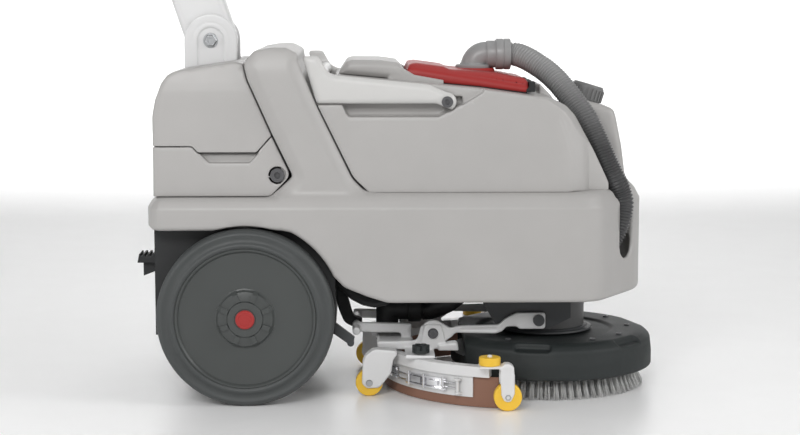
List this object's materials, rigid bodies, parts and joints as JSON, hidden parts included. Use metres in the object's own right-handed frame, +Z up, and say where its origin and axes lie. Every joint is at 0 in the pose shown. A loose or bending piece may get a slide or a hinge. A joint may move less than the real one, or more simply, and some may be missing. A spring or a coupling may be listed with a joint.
{
  "type": "wet dry floor scrubber",
  "caption": "Walk-behind wet dry floor scrubber with a disc brush, a curved squeegee on castors, a lidded recovery tank, a suction hose and a folding handle.",
  "frame": {"origin": "on the floor below the middle of the machine's box", "axes": "+X forward, away from the operator; +Y to the machine's left; +Z up"},
  "size_m": [0.9794, 0.514, 0.998],
  "materials": {
    "grey_plastic": "moulded, satin",
    "pale_coat": "powder coat, satin",
    "bail_plastic": "moulded, satin",
    "wheel_plastic": "moulded, satin",
    "hose_light": "moulded, satin",
    "hose_black": "corrugated, satin",
    "white_plastic": "moulded",
    "red_plastic": "moulded, satin",
    "dark_plastic": "moulded, satin",
    "liner_plastic": "moulded, matt",
    "dark_coat": "powder coat, matt",
    "motor_coat": "grey enamel, satin",
    "steel": "turned, satin",
    "screws": "blackened",
    "cast_silver": "cast, satin",
    "strap_silver": "brushed, satin",
    "latch_chrome": "polished",
    "tyre_rubber": "fine cross ribs",
    "black_rubber": "matt",
    "blade_rubber": "brown, matt",
    "hose_grey": "corrugated, satin",
    "webbing": "woven strap",
    "yellow_plastic": "moulded, satin",
    "bristle_fibre": "tufts of filament",
    "green_plastic": "moulded, gloss"
  },
  "bodies": {
    "machine": {"chassis_frame": "dark_coat", "arch_liner": "liner_plastic", "wheel_axle": "steel", "main_body": "grey_plastic", "rear_panel": "grey_plastic", "rear_hood": "grey_plastic", "machine_screws": "screws", "handle_clevis": "pale_coat", "battery_pack": "dark_plastic", "suction_motor": "dark_coat", "solenoid_valve": "dark_coat", "feed_hose": "black_rubber", "brush_motor": "motor_coat", "deck_cover": "dark_plastic", "recovery_tank": "grey_plastic", "tank_top_cover": "grey_plastic", "hose_upper": "hose_grey", "hose_middle": "hose_grey"},
    "lid": {"tank_lid": "red_plastic", "lid_gasket": "black_rubber", "hose_elbow": "hose_light", "hose_cuff": "hose_light", "float_cage": "white_plastic"},
    "cap": {"filler_cap": "dark_plastic"},
    "bail": {"carry_bail": "bail_plastic"},
    "wheel_right": {"tyre_right": "tyre_rubber", "rim_right": "wheel_plastic", "hub_cap_right": "red_plastic"},
    "wheel_left": {"tyre_left": "tyre_rubber", "rim_left": "wheel_plastic", "hub_cap_left": "red_plastic"},
    "brush": {"drive_hub": "steel", "brush_block": "dark_plastic", "bristles": "bristle_fibre"},
    "squeegee": {"squeegee_arms": "cast_silver", "squeegee_holder": "cast_silver", "squeegee_channel": "cast_silver", "squeegee_blades": "blade_rubber", "blade_strap": "strap_silver", "squeegee_knobs": "dark_plastic", "castor_brackets": "cast_silver", "suction_inlet": "liner_plastic", "hose_tail": "hose_black", "lift_strap": "webbing"},
    "latch": {"strap_latch": "latch_chrome"},
    "rear_castor_r": {"rear_castor_right": "yellow_plastic"},
    "rear_castor_l": {"rear_castor_left": "yellow_plastic"},
    "front_castor_r": {"front_castor_right": "yellow_plastic"},
    "front_castor_l": {"front_castor_left": "yellow_plastic"},
    "roller_r": {"bumper_roller_right": "yellow_plastic"},
    "roller_l": {"bumper_roller_left": "yellow_plastic"},
    "pedal": {"pedal_arm": "dark_coat", "pedal_pad": "black_rubber"},
    "handle": {"handle_mast": "pale_coat", "handlebar": "steel", "hand_grips": "black_rubber", "console": "dark_plastic"},
    "trigger": {"trigger_lever": "red_plastic"},
    "key": {"key_switch": "liner_plastic"},
    "button": {"start_button": "green_plastic"}
  },
  "joints": [
    {"name": "lid_hinge", "type": "hinge", "parent": "machine", "child": "lid", "pos_m": [0.26371, 0, 0.531], "axis": [0, 1, 0], "range_deg": [0, 35], "deforming": ["hose_upper"]},
    {"name": "cap_turn", "type": "hinge", "parent": "machine", "child": "cap", "pos_m": [0.37671, 0.025, 0.532], "axis": [0.284, 0, 0.9588], "range_deg": [0, 90]},
    {"name": "bail_swing", "type": "hinge", "parent": "machine", "child": "bail", "pos_m": [0.11371, 0, 0.511], "axis": [0, 1, 0], "range_deg": [0, 85]},
    {"name": "wheel_right_spin", "type": "hinge", "parent": "machine", "child": "wheel_right", "pos_m": [-0.22629, -0.19, 0.15], "axis": [0, 1, 0], "continuous": true},
    {"name": "wheel_left_spin", "type": "hinge", "parent": "machine", "child": "wheel_left", "pos_m": [-0.22629, 0.19, 0.15], "axis": [0, 1, 0], "continuous": true},
    {"name": "brush_spin", "type": "hinge", "parent": "machine", "child": "brush", "pos_m": [0.29771, 0, 0.06], "axis": [0, 0, 1], "continuous": true},
    {"name": "squeegee_lift", "type": "hinge", "parent": "machine", "child": "squeegee", "pos_m": [0.27671, 0, 0.128], "axis": [0, 1, 0], "range_deg": [0, 5.2], "deforming": ["hose_tail", "lift_strap"]},
    {"name": "pedal_press", "type": "hinge", "parent": "machine", "child": "pedal", "pos_m": [-0.18629, -0.124, 0.186], "axis": [0, -1, 0], "range_deg": [0, 12.2]},
    {"name": "rear_castor_right_spin", "type": "hinge", "parent": "squeegee", "child": "rear_castor_r", "pos_m": [-0.01829, -0.127, 0.0235], "axis": [0, 1, 0], "continuous": true},
    {"name": "rear_castor_left_spin", "type": "hinge", "parent": "squeegee", "child": "rear_castor_l", "pos_m": [-0.01829, 0.127, 0.0235], "axis": [0, 1, 0], "continuous": true},
    {"name": "front_castor_right_spin", "type": "hinge", "parent": "squeegee", "child": "front_castor_r", "pos_m": [0.21271, -0.246, 0.0235], "axis": [0, 1, 0], "continuous": true},
    {"name": "front_castor_left_spin", "type": "hinge", "parent": "squeegee", "child": "front_castor_l", "pos_m": [0.21271, 0.246, 0.0235], "axis": [0, 1, 0], "continuous": true},
    {"name": "roller_right_spin", "type": "hinge", "parent": "squeegee", "child": "roller_r", "pos_m": [0.18271, -0.238, 0.0825], "axis": [0, 0, 1], "continuous": true},
    {"name": "roller_left_spin", "type": "hinge", "parent": "squeegee", "child": "roller_l", "pos_m": [0.18271, 0.238, 0.0825], "axis": [0, 0, 1], "continuous": true},
    {"name": "latch_open", "type": "hinge", "parent": "squeegee", "child": "latch", "pos_m": [0.13022, -0.21721, 0.035], "axis": [0, 0, 1], "range_deg": [0, 100]},
    {"name": "handle_fold", "type": "hinge", "parent": "machine", "child": "handle", "pos_m": [-0.29229, 0, 0.611], "axis": [0, 1, 0], "range_deg": [-10, 60]},
    {"name": "trigger_squeeze", "type": "hinge", "parent": "handle", "child": "trigger", "pos_m": [-0.37395, 0, 0.94959], "axis": [0, -1, 0], "range_deg": [0, 15], "stiffness_Nm_per_rad": 1.2, "springref_deg": -8.59},
    {"name": "key_turn", "type": "hinge", "parent": "handle", "child": "key", "pos_m": [-0.47452, -0.024, 0.96655], "axis": [-0.9928, 0, 0.1201], "range_deg": [0, 90]},
    {"name": "button_press", "type": "slide", "parent": "handle", "child": "button", "axis": [0.9928, 0, -0.1201], "range_m": [0, 0.003], "stiffness_N_per_m": 600, "springref_m": -0.002}
  ],
  "couplings": [
    {"joint": "pedal_press", "follows": "squeegee_lift", "ratio": 2.343}
  ]
}
